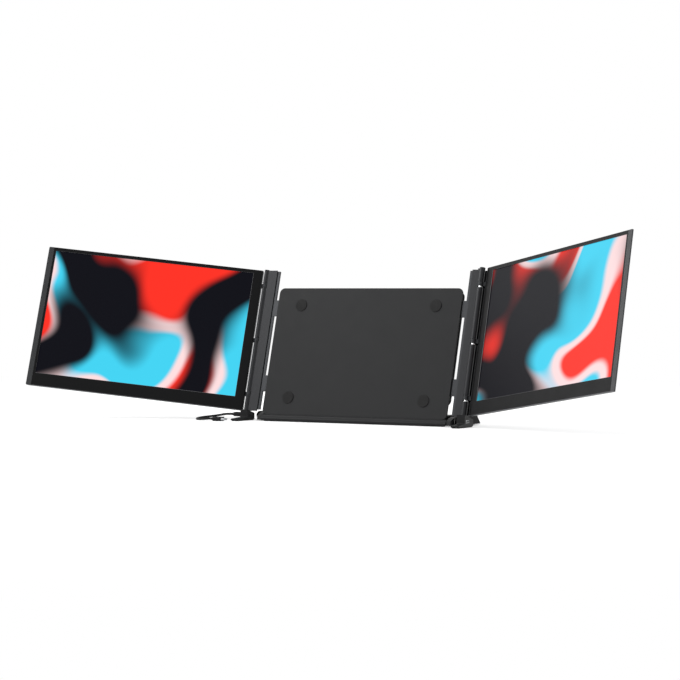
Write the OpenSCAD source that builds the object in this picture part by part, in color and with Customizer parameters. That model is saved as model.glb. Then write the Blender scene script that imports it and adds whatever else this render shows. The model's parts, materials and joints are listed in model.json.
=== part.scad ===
// Folding two-screen extender. An arm slides out of a leaning centre frame on each side, each arm
// carries a screen on a full-height hinge rail, and a stand folds out behind.
// Millimetres. The origin is on the desk, at the middle of the rubber strip under the centre
// frame. +X is to the right as seen from the front, +Y to the back and +Z up.

/* [Screens] */
// Width of the visible picture
picture_w = 301.6; // [250:0.1:330]
// Height of the visible picture
picture_h = 188.5; // [157:0.1:226]
// Dark border between the hinge edge and the picture
border_hinge = 14.6; // [14:0.1:20]
// Dark border above the picture
border_top = 5.3; // [4.2:0.1:12]
// Dark border below the picture, with the driver board behind it
border_chin = 19.7; // [18.5:0.1:30]
// Dark border between the picture and the outer strip
border_outer = 3.8; // [2:0.1:10]
// Width of the pale strip along the outer edge
strip_w = 7.6; // [4:0.1:12]
// Thickness of a screen
screen_t = 7; // [6.2:0.1:12]
// Thickness of a screen at its outer edge
edge_t = 1.8; // [1.4:0.1:2.4]
// How far the back shell tapers in from the outer edge
taper_w = 7.5; // [4:0.1:9]
// Chamfer along the back shell's top and bottom edges
shell_chamfer = 1.8; // [0.5:0.1:1.9]
// Radius of a screen's corners
screen_corner_r = 1.5; // [1:0.5:5]
// Thickness of the back shell's rear wall
shell_back_t = 1.5; // [1:0.1:2]
// Thickness of the back shell's rim
shell_rim_t = 1.4; // [1:0.1:1.6]
// Thickness of the front bezel
bezel_t = 1.2; // [0.8:0.1:1.5]
// Radius of the power and menu buttons
button_r = 3; // [2:0.1:3.6]

/* [Hinge rails] */
// Radius of the rail's barrel
barrel_r = 4; // [3.4:0.1:5]
// Radius of the hinge shaft
shaft_r = 1.5; // [1:0.1:2]
// Height of one hinge knuckle
knuckle_h = 6; // [4:0.1:10]
// Height of the bare steel collar under each knuckle of the right hinge
collar_h = 2.4; // [1:0.1:4]
// Middle of the top knuckle below the rail's top
knuckle_top_inset = 23.5; // [15:0.5:35]
// Middle of the bottom knuckle above the rail's bottom
knuckle_bottom_inset = 25; // [18:0.5:35]
// From the hinge axis out to the screen's edge
edge_gap = 6.3; // [5.6:0.1:8]
// From the hinge axis back to the screen's face
face_setback = 4; // [3.6:0.1:6]
// Air between the two screens when both are folded in
fold_gap = 0.8; // [0.6:0.1:3]
// How far the left screen is folded in from flat
fold_left = 23.3; // [0:0.1:60]
// How far the right screen is folded in from flat
fold_right = 30.8; // [0:0.1:60]

/* [Centre frame] */
// Lean of the frame back from upright
lean = 16; // [10:0.5:20]
// Width between the two rails
bay_w = 343.2; // [336:0.1:400]
// Width of the centre frame
frame_w = 300; // [250:1:304]
// Height of the centre frame
frame_h = 191; // [160:1:205]
// Thickness of the front plate and of the rear cover
plate_t = 2; // [1.5:0.1:3]
// Radius of the round pads on the centre plate's front
pad_r = 9; // [6:0.5:12]
// Thickness of those pads
pad_t = 1; // [0.6:0.1:2]
// Clear height under the screens, along the lean
ground_gap = 14.7; // [14:0.1:20]

/* [Arms] */
// Thickness of the sliding arm plate
arm_t = 3; // [2:0.1:4]
// How far the right arm plate reaches out past the hinge axis, behind the barrel
arm_reach = 3.7; // [1:0.1:3.9]
// Height of one sliding tongue
tongue_h = 24; // [18:1:28]
// Length of one sliding tongue
tongue_l = 78; // [65:1:90]
// How far an arm slides out
travel_out = 22; // [10:1:24]
// How far an arm slides in
travel_in = 2; // [0:0.5:2.5]
// Clearance around the sliding tongues
slide_gap = 0.3; // [0.2:0.05:0.5]

/* [Port blocks] */
// Front end of the block's toe, ahead of the origin
toe_reach = 32; // [26:1:40]
// Rear end of the block, behind the origin
block_back = 14; // [12:0.5:20]
// Height of the port's middle above the desk
port_z = 8.4; // [7.8:0.1:9]

/* [Stand] */
// Reach of the stand behind the origin
stand_reach = 79; // [60:1:100]
// Height of the stand's cheeks
stand_h = 13.5; // [12:0.5:14]
// Thickness of one cheek
cheek_t = 6; // [4:0.5:6]
// Radius of the stand's pivot pins
stand_pin_r = 2.5; // [2:0.1:3]
// Thickness of the rubber feet
foot_t = 1.2; // [0.8:0.1:1.6]

/* [Cord] */
// Diameter of the cord
cord_d = 3.2; // [2.5:0.1:4]
// Length of the plugs' grips
grip_l = 14.5; // [12:0.5:20]

/* [Hidden] */
LEFT = -1;
RIGHT = 1;
round_fn = 48;
small_fn = 32;

// Layers of the centre frame, along its own depth, from the front of its bay back to the cover.
plate_front_y = -4;
pad_front_y = plate_front_y - pad_t;
plate_back_y = plate_front_y + plate_t;
arm_front_y = plate_back_y + slide_gap;
arm_back_y = arm_front_y + arm_t;
cover_front_y = arm_back_y + slide_gap;
cover_back_y = cover_front_y + plate_t;

// Hinge axes. Folded in, the left screen lies on the frame and the right one over it.
web_t = 3.9;
web_overlap = 1;
hinge_x = bay_w / 2 + web_t + barrel_r - web_overlap;
fold_pad_gap = 0.5;
left_axis_y = pad_front_y - fold_pad_gap + face_setback;
right_axis_y = left_axis_y - screen_t - fold_gap;

// Screens, in their own frame: x outward and y back from the hinge axis, z up from the bottom.
screen_w = border_hinge + picture_w + border_outer + strip_w;
screen_h = border_top + picture_h + border_chin;
screen_x1 = edge_gap + screen_w;
strip_x = screen_x1 - strip_w;
face_y = face_setback;
shell_front_y = face_y + bezel_t;
screen_back_y = face_y + screen_t;
shell_inner_y = screen_back_y - shell_back_t;
picture_x = edge_gap + border_hinge;
picture_margin = 2.5;
display_t = 1.2;
backlight_t = 2;

// Driver board and buttons behind the chin.
board_clear = 1;
board_x = edge_gap + 16;
board_w = 150;
board_t = 1;
board_z0 = 3;
board_z1 = border_chin - picture_margin - board_clear;
board_y0 = shell_front_y + 0.8;
board_y1 = board_y0 + board_t;
button_z = 9.5;
power_button_x = edge_gap + 36;
menu_button_x = edge_gap + 52;
button_gap = 0.15;
button_proud = 0.3;
button_flange = 0.8;
button_flange_t = 0.5;
button_stem_r = 1;
switch_t = 0.7;
switch_gap = 0.6;
screw_inset = 5;
screw_outer_inset = taper_w + 4.5;
screw_head_r = 2;
screw_head_t = 0.8;

// Rails.
rail_bottom_gap = 0.8;
cap_t = 0.8;
rail_z0 = -rail_bottom_gap;
rail_z1 = screen_h - cap_t;
shaft_fit = 0.02;
knuckle_play = 0.3;
knuckle_fit = 0.05;
collar_r = shaft_r + 1.2;
knuckle_r = barrel_r - 0.2;
slot_r = barrel_r + 0.4;
knuckle_zs = [knuckle_bottom_inset, screen_h / 2, screen_h - knuckle_top_inset];
knuckle_foot_x0 = edge_gap + shell_rim_t + 0.2;
knuckle_foot_x1 = picture_x - picture_margin - 0.6;
knuckle_foot_h = 13;
knuckle_foot_t = 1.8;
knuckle_foot_gap = 0.1;
flange_t = 1.5;
flange_w = 11.6;
flange_x0 = bay_w / 2 - flange_w;
arm_overlap = 1.9;
arm_recess_gap = 0.8;
arm_recess_w = 3.6;
arm_recess_floor = 0.8;
arm_post_x0 = bay_w / 2 - 15.6;
arm_end_inset = 2;
rail_screw_r = 1.5;
rail_screw_head_r = 2.6;
rail_screw_head_t = 1.3;
rail_screw_floor = 0.3;
rail_screw_x = (arm_post_x0 + bay_w / 2) / 2 + 2;
rail_screw_zs = [20, screen_h / 2 - 45, screen_h / 2 + 45, screen_h - 20];

// Centre frame.
frame_z0 = 9;
frame_corner_r = 8;
tongue_low_z = frame_z0 + 47;
tongue_high_z = frame_z0 + frame_h - 30;
tongue_x0 = arm_post_x0 - tongue_l;
guide_h = 6;
guide_inset = 1;
pad_x = frame_w / 2 - 40;
pad_inset = 26;
stop_pin_r = 1.5;
stop_slot_gap = 0.2;
stop_pin_x = frame_w / 2 - travel_out - stop_pin_r - 6.5;
cover_z0 = frame_z0 + 21;
cover_z1 = frame_z0 + frame_h - 4;
cover_screw_xs = [-frame_w / 2 + 5, -45, 45, frame_w / 2 - 5];
cover_screw_r = 1.5;
cover_screw_head_r = 2.6;
cover_screw_head_t = 1;

// Base bar and feet.
base_front_y = -5;
base_back_y = 9;
base_foot_w = 9;
base_foot_inset = 5;

// Port blocks.
block_x0 = bay_w / 2;
block_x1 = hinge_x + barrel_r + 1.5;
block_top_z = ground_gap - rail_bottom_gap;
toe_t = 5;
toe_front_t = 3.5;
foot_inset = 1;
port_offset_y = 1;
socket_w = 9.6;
socket_h = 3.9;
socket_l = 7.2;
socket_cavity_w = 8.6;
socket_cavity_h = 2.8;
socket_back_t = 0.8;
socket_tongue_w = 6.6;
socket_tongue_h = 0.7;
socket_tongue_l = 4.6;
port_fit = 0.1;
port_board_t = 1;
port_board_front = 6.5;
port_board_back = 5;
pocket_wall = 2;
pocket_gap = 0.5;

// Stand.
stand_pivot_y = 14;
stand_pivot_z = 7.5;
stand_pin_fit = 0.05;
bracket_x0 = frame_w / 2;
bracket_t = 7;
washer_t = 1;
cheek_x0 = bracket_x0 + bracket_t + washer_t;
cheek_x1 = cheek_x0 + cheek_t;
stand_clear = 0.3;
stand_floor = foot_t + stand_clear;
stand_head_r = 4.2;
stand_head_t = 1.7;
deck_t = 2;
deck_y0 = stand_pivot_y + 20;
heel_slope = 10.5;
heel_top_w = 2.5;
heel_y1 = stand_reach - heel_slope;
deck_y1 = heel_y1 - heel_top_w;
stand_foot_w = 7;

// Cord. The port plug sits in the left block's socket, and the cord's own route lies from the
// back of that plug's grip, in a half turn on the desk, to the back of the second plug's grip.
cord_sides = 8;
grip_w = 11.5;
grip_h = 6.2;
tip_w = 8.2;
tip_h = 2.4;
tip_l = 6;
tip_wall = 0.35;
relief_l = 4.5;
relief_r = 2.2;
plug_gap = 0.2;
left_port_y = port_y(LEFT);
port_plug_x = -(block_x1 + plug_gap);
host_plug_x = -187;
host_plug_y = -40;
host_plug_z = grip_h / 2;
cord_start_x = port_plug_x - grip_l - relief_l;
cord_end_x = host_plug_x - tip_l - grip_l - relief_l;
cord_route = [
    [cord_start_x, left_port_y, port_z],
    [cord_start_x - 5, left_port_y, port_z],
    [-214, 3.5, 8.1],
    [-220, 3.2, 7.2],
    [-226, 2.6, 6.1],
    [-232, 1.4, 5.2],
    [-237.5, -0.8, 4.4],
    [-242.5, -4.2, 3.7],
    [-246.3, -8.7, 3.1],
    [-248.5, -14, 2.5],
    [-248.8, -19.8, 2],
    [-246.8, -25.2, 1.7],
    [-243.2, -29.8, 1.7],
    [-238.5, -33.4, 1.7],
    [-232.8, -36.2, 1.9],
    [-226.5, -38.4, 2.3],
    [-221.5, -39.5, 2.7],
    [cord_end_x - 5, host_plug_y, host_plug_z],
    [cord_end_x, host_plug_y, host_plug_z],
];

function axis_y(s) = s < 0 ? left_axis_y : right_axis_y;
function fold(s) = s < 0 ? fold_left : fold_right;
function port_y(s) = axis_y(s) * cos(lean) + ground_gap * sin(lean) + port_offset_y;

module lean_back() {
    rotate([-lean, 0, 0]) children();
}

module side(s) {
    mirror([s < 0 ? 1 : 0, 0, 0]) children();
}

// From the arm's side of the hinge: x outward from the axis, z up from the screens' bottom.
module at_rail(s) {
    lean_back() side(s) translate([hinge_x, axis_y(s), ground_gap]) children();
}

module at_screen(s) {
    lean_back()
        translate([s * hinge_x, axis_y(s), ground_gap])
            rotate([0, 0, -s * fold(s)])
                side(s) children();
}

module box(a, b) {
    translate(a) cube(b - a);
}

module rounded_outline(x0, z0, x1, z1, r) {
    translate([x0 + r, z0]) square([x1 - x0 - 2 * r, z1 - z0]);
    translate([x0, z0 + r]) square([x1 - x0, z1 - z0 - 2 * r]);
    for (x = [x0 + r, x1 - r], z = [z0 + r, z1 - r]) {
        translate([x, z]) circle(r = r, $fn = round_fn);
    }
}

// An upright slab with round corners, from y0 to y1.
module slab(x0, z0, x1, z1, r, y0, y1) {
    translate([0, y1, 0]) rotate([90, 0, 0]) linear_extrude(y1 - y0)
        rounded_outline(x0, z0, x1, z1, r);
}

// A cylinder along y, from y0 to y1.
module peg(x, z, r, y0, y1, fn = small_fn) {
    translate([x, y1, z]) rotate([90, 0, 0]) cylinder(r = r, h = y1 - y0, $fn = fn);
}

// A cylinder along x, from x0 to x1.
module pin_x(y, z, r, x0, x1) {
    translate([x0, y, z]) rotate([0, 90, 0]) cylinder(r = r, h = x1 - x0, $fn = small_fn);
}

// A side view, drawn in y and z, given its width from x0 to x1.
module side_profile(points, x0, x1) {
    translate([x0, 0, 0]) rotate([90, 0, 90]) linear_extrude(x1 - x0) polygon(points);
}

// Everything above a level that is measured along the lean.
module above(z) {
    lean_back() box([-250, -100, z], [250, 100, z + 100]);
}

// ---- Centre frame ----

module centre_plate() {
    color("#26282b") lean_back()
        slab(-frame_w / 2, frame_z0, frame_w / 2, frame_z0 + frame_h, frame_corner_r,
            plate_front_y, plate_back_y);
}

module rear_cover() {
    color("#303236") lean_back() difference() {
        slab(-frame_w / 2, cover_z0, frame_w / 2, cover_z1, frame_corner_r,
            cover_front_y, cover_back_y);
        for (s = [LEFT, RIGHT], z = [tongue_low_z, tongue_high_z]) {
            side(s) stop_slot(z);
        }
        for (x = cover_screw_xs, z = guide_middles()) {
            peg(x, z, cover_screw_r + 0.05, cover_front_y - 1, cover_back_y + 1);
            peg(x, z, cover_screw_head_r + 0.1, cover_back_y - cover_screw_head_t,
                cover_back_y + 1);
        }
    }
}

module stop_slot(z) {
    r = stop_pin_r + stop_slot_gap;
    slab(stop_pin_x - travel_in - r, z - r, stop_pin_x + travel_out + r, z + r, r - 0.01,
        cover_front_y - 1, cover_back_y + 1);
}

function guide_middle(tongue_z, up) = tongue_z + up * (tongue_h / 2 + slide_gap + guide_h / 2);
function guide_middles() = [
    for (z = [tongue_low_z, tongue_high_z], up = [-1, 1]) guide_middle(z, up)
];

// The bars above and below one pair of tongues, between the front plate and the rear cover.
module guide_bars(tongue_z) {
    color("#3a3c40") lean_back() difference() {
        for (up = [-1, 1]) {
            z = guide_middle(tongue_z, up);
            box([-frame_w / 2 + guide_inset, plate_back_y, z - guide_h / 2],
                [frame_w / 2 - guide_inset, cover_front_y, z + guide_h / 2]);
        }
        for (x = cover_screw_xs, up = [-1, 1]) {
            peg(x, guide_middle(tongue_z, up), cover_screw_r, plate_back_y + 0.6,
                cover_front_y + 1);
        }
    }
}

module cover_screws() {
    color("#8a8d90") lean_back() for (x = cover_screw_xs, z = guide_middles()) {
        difference() {
            union() {
                peg(x, z, cover_screw_r, plate_back_y + 0.8, cover_back_y - 0.5);
                peg(x, z, cover_screw_head_r, cover_back_y - cover_screw_head_t, cover_back_y);
            }
            peg(x, z, 1, cover_back_y - 0.6, cover_back_y + 1, 6);
        }
    }
}

module lid_pads(z) {
    color("#151515") lean_back() for (x = [-pad_x, pad_x]) {
        peg(x, z, pad_r, pad_front_y, plate_front_y, round_fn);
    }
}

module base_bar() {
    color("#202225") difference() {
        side_profile([
            [base_front_y, foot_t], [base_back_y, foot_t], [base_back_y, 20], [-1.2, 20],
            [-2.4, 8], [base_front_y, 4.6],
        ], -frame_w / 2, frame_w / 2);
        above(frame_z0);
    }
}

module base_foot() {
    color("#101010")
        box([-frame_w / 2 + base_foot_inset, -base_foot_w / 2, 0],
            [frame_w / 2 - base_foot_inset, base_foot_w / 2, foot_t]);
}

module stand_bracket(s) {
    color("#202225") side(s) difference() {
        side_profile([
            [-4, stand_floor], [19, stand_floor], [20, stand_pivot_z], [18, 12],
            [stand_pivot_y, 13.2], [7, 12], [-2, 8],
        ], bracket_x0, bracket_x0 + bracket_t);
        pin_x(stand_pivot_y, stand_pivot_z, stand_pin_r, bracket_x0 - 1,
            bracket_x0 + bracket_t + 1);
    }
}

module stand_pins() {
    color("#9a9da0") for (s = [LEFT, RIGHT]) {
        side(s) {
            pin_x(stand_pivot_y, stand_pivot_z, stand_pin_r, bracket_x0 + 0.5,
                cheek_x1 + stand_clear);
            pin_x(stand_pivot_y, stand_pivot_z, stand_head_r, cheek_x1 + stand_clear,
                cheek_x1 + stand_clear + stand_head_t);
        }
    }
}

module stand_washers() {
    color("#c9c9c4") for (s = [LEFT, RIGHT]) {
        side(s) difference() {
            pin_x(stand_pivot_y, stand_pivot_z, 5.2, cheek_x0 - washer_t, cheek_x0 - 0.1);
            pin_x(stand_pivot_y, stand_pivot_z, stand_pin_r, cheek_x0 - washer_t - 1,
                cheek_x0 + 1);
        }
    }
}

// ---- Arms ----

function arm_x1(s) = s < 0 ? bay_w / 2 + arm_overlap : hinge_x + arm_reach;

// One plate: an upright post with two sliding tongues, and a stop pin on each tongue. The right
// post runs on behind its barrel, with a recess for each knuckle.
module arm_plate(s) {
    color("#4a4d50") lean_back() side(s) difference() {
        union() {
            box([arm_post_x0, arm_front_y, ground_gap + arm_end_inset],
                [arm_x1(s), arm_back_y, ground_gap + screen_h - arm_end_inset]);
            for (z = [tongue_low_z, tongue_high_z]) {
                box([tongue_x0, arm_front_y, z - tongue_h / 2],
                    [arm_post_x0 + 1, arm_back_y, z + tongue_h / 2]);
                peg(stop_pin_x, z, stop_pin_r, arm_back_y - 0.5, cover_back_y - 0.2);
            }
        }
        for (z = rail_screw_zs) {
            peg(rail_screw_x, ground_gap + z, rail_screw_r, arm_front_y - 1, arm_back_y + 1);
        }
        for (z = knuckle_zs) {
            h = knuckle_h / 2 + arm_recess_gap;
            box([hinge_x + arm_reach - arm_recess_w, arm_front_y - 1, ground_gap + z - h],
                [hinge_x + arm_reach + 1, arm_back_y - arm_recess_floor, ground_gap + z + h]);
        }
    }
}

// Room for a collar under a knuckle. Only the right hinge has them.
function collar_room(s) = s < 0 ? 0 : collar_h;

// Barrel, web and flange in one bar. The barrel opens at each knuckle and its collar.
module rail(s) {
    flange_y0 = arm_front_y - flange_t;
    web_y0 = min(axis_y(s), flange_y0);
    color("#3c3e41") difference() {
        union() {
            at_rail(s) translate([0, 0, rail_z0])
                cylinder(r = barrel_r, h = rail_z1 - rail_z0, $fn = round_fn);
            lean_back() side(s) {
                box([bay_w / 2, web_y0, ground_gap + rail_z0],
                    [bay_w / 2 + web_t, arm_front_y, ground_gap + rail_z1]);
                box([flange_x0, flange_y0, ground_gap + rail_z0],
                    [bay_w / 2 + 1, arm_front_y, ground_gap + rail_z1]);
            }
        }
        at_rail(s) {
            translate([0, 0, rail_z0 - 1])
                cylinder(r = shaft_r + shaft_fit, h = rail_z1 - rail_z0 + 2, $fn = small_fn);
            for (z = knuckle_zs) {
                translate([0, 0, z - knuckle_h / 2 - knuckle_play - collar_room(s)])
                    cylinder(r = slot_r, h = knuckle_h + 2 * knuckle_play + collar_room(s),
                        $fn = round_fn);
            }
        }
        lean_back() side(s) for (z = rail_screw_zs) {
            peg(rail_screw_x, ground_gap + z, rail_screw_r, flange_y0 + rail_screw_floor,
                arm_front_y + 1);
        }
    }
}

// The right shaft has a collar under each knuckle, which shows between the knuckle and the barrel.
module hinge_shaft(s) {
    color("#b9bcbf") at_rail(s) {
        cylinder(r = shaft_r, h = rail_z1 - 3, $fn = small_fn);
        if (s > 0) for (z = knuckle_zs) {
            translate([0, 0, z - knuckle_h / 2 - knuckle_play - collar_h])
                cylinder(r = collar_r, h = collar_h, $fn = small_fn);
        }
    }
}

module rail_cap(s) {
    color("#2a2c2e") at_rail(s) {
        translate([0, 0, rail_z1]) cylinder(r = barrel_r, h = cap_t, $fn = round_fn);
        translate([0, 0, rail_z1 - 2]) cylinder(r = shaft_r, h = 2.2, $fn = small_fn);
    }
}

module rail_screws(s) {
    color("#8a8d90") lean_back() side(s) for (z = rail_screw_zs) {
        difference() {
            union() {
                peg(rail_screw_x, ground_gap + z, rail_screw_r,
                    arm_front_y - flange_t + rail_screw_floor, arm_back_y + 0.5);
                peg(rail_screw_x, ground_gap + z, rail_screw_head_r, arm_back_y,
                    arm_back_y + rail_screw_head_t);
            }
            peg(rail_screw_x, ground_gap + z, 1.1, arm_back_y + 0.6, arm_back_y + 3, 6);
        }
    }
}

// The foot of the rail, with the port in its outer face.
module port_block(s) {
    y = port_y(s);
    front = y - port_board_front - pocket_gap - pocket_wall;
    color("#4b4d50") side(s) difference() {
        side_profile([
            [-toe_reach, foot_t], [block_back, foot_t], [block_back, 30], [front, 30],
            [front, toe_t + 1.5], [front - 1.5, toe_t], [-toe_reach, toe_front_t],
        ], block_x0, block_x1);
        above(block_top_z);
        box([block_x0 + pocket_wall, y - port_board_front - pocket_gap, foot_t - 1],
            [block_x1 - pocket_wall, y + port_board_back + pocket_gap,
                port_z + socket_h / 2 + port_fit]);
        box([block_x0 + pocket_wall, y - socket_w / 2 - port_fit,
                port_z - socket_h / 2 - port_fit],
            [block_x1 + 1, y + socket_w / 2 + port_fit, port_z + socket_h / 2 + port_fit]);
    }
}

module port_socket(s) {
    y = port_y(s);
    x0 = block_x1 - socket_l;
    color("#b0b3b6") side(s) {
        difference() {
            box([x0, y - socket_w / 2, port_z - socket_h / 2],
                [block_x1, y + socket_w / 2, port_z + socket_h / 2]);
            box([x0 + socket_back_t, y - socket_cavity_w / 2, port_z - socket_cavity_h / 2],
                [block_x1 + 1, y + socket_cavity_w / 2, port_z + socket_cavity_h / 2]);
        }
        box([x0, y - socket_tongue_w / 2, port_z - socket_tongue_h / 2],
            [x0 + socket_back_t + socket_tongue_l, y + socket_tongue_w / 2,
                port_z + socket_tongue_h / 2]);
    }
}

module port_board(s) {
    y = port_y(s);
    z1 = port_z - socket_h / 2;
    color("#1e4d33") side(s)
        box([block_x0 + pocket_wall + pocket_gap, y - port_board_front, z1 - port_board_t],
            [block_x1 - pocket_wall - pocket_gap, y + port_board_back, z1]);
}

module block_foot(s) {
    color("#101010") side(s)
        box([block_x0 + foot_inset, -toe_reach + foot_inset, 0],
            [block_x1 - foot_inset, block_back - foot_inset, foot_t]);
}

// ---- Screens ----

module screen_outline(y0, y1) {
    slab(edge_gap, 0, screen_x1, screen_h, screen_corner_r, y0, y1);
}

function shell_screw_places() = [
    for (x = [edge_gap + 22, screen_x1 - screw_outer_inset],
        z = [screw_inset, screen_h - screw_inset]) [x, z]
];

// Where the slanting outer wall stands at a depth y, and the same for a skin inset inside it.
function taper_x(inset, y) =
    let (d = screen_t - edge_t)
    screen_x1 - inset * norm([taper_w, d]) / d - (y - face_y - edge_t) * taper_w / d;

module within_taper(inset, y0, y1) {
    linear_extrude(screen_h) polygon([
        [edge_gap, y0], [taper_x(inset, y0), y0], [taper_x(inset, y1), y1], [edge_gap, y1],
    ]);
}

module within_chamfers() {
    c = shell_chamfer;
    side_profile([
        [face_y, 0], [screen_back_y - c, 0], [screen_back_y, c], [screen_back_y, screen_h - c],
        [screen_back_y - c, screen_h], [face_y, screen_h],
    ], edge_gap, screen_x1);
}

module back_shell(s) {
    color("#2b2d30") at_screen(s) difference() {
        union() {
            difference() {
                intersection() {
                    screen_outline(shell_front_y, screen_back_y);
                    within_taper(0, shell_front_y - 1, screen_back_y + 1);
                    within_chamfers();
                }
                intersection() {
                    slab(edge_gap + shell_rim_t, shell_rim_t, screen_x1 - shell_rim_t,
                        screen_h - shell_rim_t, screen_corner_r - shell_rim_t / 2,
                        shell_front_y - 1, shell_inner_y);
                    within_taper(shell_rim_t, shell_front_y - 1, shell_inner_y);
                }
            }
            for (x = [board_x + 6, board_x + board_w - 6]) {
                peg(x, (board_z0 + board_z1) / 2, 2, board_y1, shell_inner_y + 0.5);
            }
        }
        for (z = knuckle_zs) {
            box([edge_gap - 1, shell_front_y - 1, z - knuckle_h / 2 - knuckle_play],
                [edge_gap + shell_rim_t + 1, shell_inner_y, z + knuckle_h / 2 + knuckle_play]);
        }
        for (x = [power_button_x, menu_button_x]) {
            peg(x, button_z, button_r + button_gap, shell_inner_y - 1, screen_back_y + 1);
        }
        for (p = shell_screw_places()) {
            peg(p[0], p[1], screw_head_r, screen_back_y - screw_head_t, screen_back_y + 1);
        }
        vents();
    }
}

// Two rows of slots that let the driver board's heat out.
module vents() {
    slot_w = 1.4;
    slot_h = 12;
    pitch = 6;
    for (i = [0 : 15]) {
        x = picture_x + 120 + i * pitch;
        box([x, shell_inner_y - 1, 20], [x + slot_w, screen_back_y + 1, 20 + slot_h]);
    }
}

module shell_screws(s) {
    color("#8a8d90") at_screen(s) for (p = shell_screw_places()) {
        difference() {
            peg(p[0], p[1], screw_head_r, screen_back_y - screw_head_t, screen_back_y - 0.1);
            peg(p[0], p[1], 0.9, screen_back_y - 0.5, screen_back_y + 1, 6);
        }
    }
}

module front_bezel(s) {
    color("#2c2d2f") at_screen(s) difference() {
        screen_outline(face_y, shell_front_y);
        box([picture_x, face_y - 1, border_chin],
            [picture_x + picture_w, shell_front_y + 1, border_chin + picture_h]);
        box([strip_x, face_y - 1, -1], [screen_x1 + 1, shell_front_y + 1, screen_h + 1]);
    }
}

module outer_strip(s) {
    color("#55575a") at_screen(s) intersection() {
        screen_outline(face_y, shell_front_y);
        box([strip_x, face_y - 1, -1], [screen_x1 + 1, shell_front_y + 1, screen_h + 1]);
    }
}

// A layer that is a little larger than the picture, behind the bezel.
module picture_layer(y0, y1) {
    box([picture_x - picture_margin, y0, border_chin - picture_margin],
        [picture_x + picture_w + picture_margin, y1,
            border_chin + picture_h + picture_margin]);
}

module display(s) {
    color("#3bd2e8") at_screen(s)
        picture_layer(shell_front_y, shell_front_y + display_t);
}

module backlight(s) {
    y0 = shell_front_y + display_t;
    color("#e8e8e4") at_screen(s) picture_layer(y0, y0 + backlight_t);
}

module driver_board(s) {
    color("#1e4d33") at_screen(s) {
        box([board_x, board_y0, board_z0], [board_x + board_w, board_y1, board_z1]);
        box([board_x + 60, board_y1 - 0.1, board_z0 + 2],
            [board_x + 70, board_y1 + 1.2, board_z0 + 11]);
        box([board_x + 84, board_y1 - 0.1, board_z0 + 3],
            [board_x + 91, board_y1 + 1.4, board_z0 + 10]);
        box([board_x + 100, board_y1 - 0.1, board_z0 + 4],
            [board_x + 124, board_y1 + 1.1, board_z0 + 8]);
        for (x = [power_button_x, menu_button_x]) {
            box([x - 2, board_y1 - 0.1, button_z - 2], [x + 2, board_y1 + switch_t, button_z + 2]);
        }
    }
}

// Three links from the shaft to the inside of the back shell.
module hinge_knuckles(s) {
    color("#6a6d70") at_screen(s) for (z = knuckle_zs) {
        translate([0, 0, z]) difference() {
            union() {
                translate([0, 0, -knuckle_h / 2]) {
                    cylinder(r = knuckle_r, h = knuckle_h, $fn = round_fn);
                    linear_extrude(knuckle_h) polygon(knuckle_arm());
                }
                box([knuckle_foot_x0, shell_inner_y - knuckle_foot_gap - knuckle_foot_t,
                        -knuckle_foot_h / 2],
                    [knuckle_foot_x1, shell_inner_y - knuckle_foot_gap, knuckle_foot_h / 2]);
            }
            translate([0, 0, -knuckle_h])
                cylinder(r = shaft_r + knuckle_fit, h = 2 * knuckle_h, $fn = small_fn);
        }
    }
}

// The link's arm in plan. It runs outward and back, and clears the rail when folded.
function knuckle_arm() = [
    [-0.8, 3.3], [3.2, face_setback / 2], [edge_gap + 0.6, shell_front_y + 0.7],
    [knuckle_foot_x0 + 0.5, shell_front_y + 0.7],
    [knuckle_foot_x0 + 0.5, shell_inner_y - knuckle_foot_gap],
    [edge_gap - 1.9, shell_inner_y - 1.2],
];

module button(s, x) {
    flange_y1 = shell_inner_y - 0.1;
    color("#1a1a1b") at_screen(s) {
        peg(x, button_z, button_r, flange_y1 - button_flange_t, screen_back_y + button_proud);
        peg(x, button_z, button_r + button_flange, flange_y1 - button_flange_t, flange_y1);
        peg(x, button_z, button_stem_r, board_y1 + switch_t + switch_gap,
            flange_y1 - button_flange_t + 0.1);
    }
}

// ---- Stand ----

// The cheek's outline in y and z, from the pivot to the sloping heel.
function cheek_outline() = [
    [stand_pivot_y, stand_floor], [stand_reach, stand_floor], [heel_y1, stand_h],
    [stand_pivot_y, stand_h],
];

module stand_cheek(s) {
    color("#0e0e0f") side(s) difference() {
        union() {
            side_profile(cheek_outline(), cheek_x0, cheek_x1);
            pin_x(stand_pivot_y, stand_pivot_z, (stand_h - stand_floor) / 2, cheek_x0, cheek_x1);
        }
        pin_x(stand_pivot_y, stand_pivot_z, stand_pin_r + stand_pin_fit, cheek_x0 - 1,
            cheek_x1 + 1);
    }
}

module stand_deck() {
    color("#121213")
        box([-cheek_x0, deck_y0, stand_h - deck_t], [cheek_x0, deck_y1, stand_h]);
}

module stand_heel() {
    color("#121213")
        side_profile([
            [stand_reach - stand_foot_w - 1, stand_floor], [stand_reach, stand_floor],
            [heel_y1, stand_h], [deck_y1, stand_h], [deck_y1, stand_h - 5],
        ], -cheek_x0, cheek_x0);
}

module stand_foot() {
    color("#101010")
        box([-cheek_x0 + 3, stand_reach - stand_foot_w - 0.5, 0],
            [cheek_x0 - 3, stand_reach - 0.5, stand_floor]);
}

// ---- Cord ----

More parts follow.
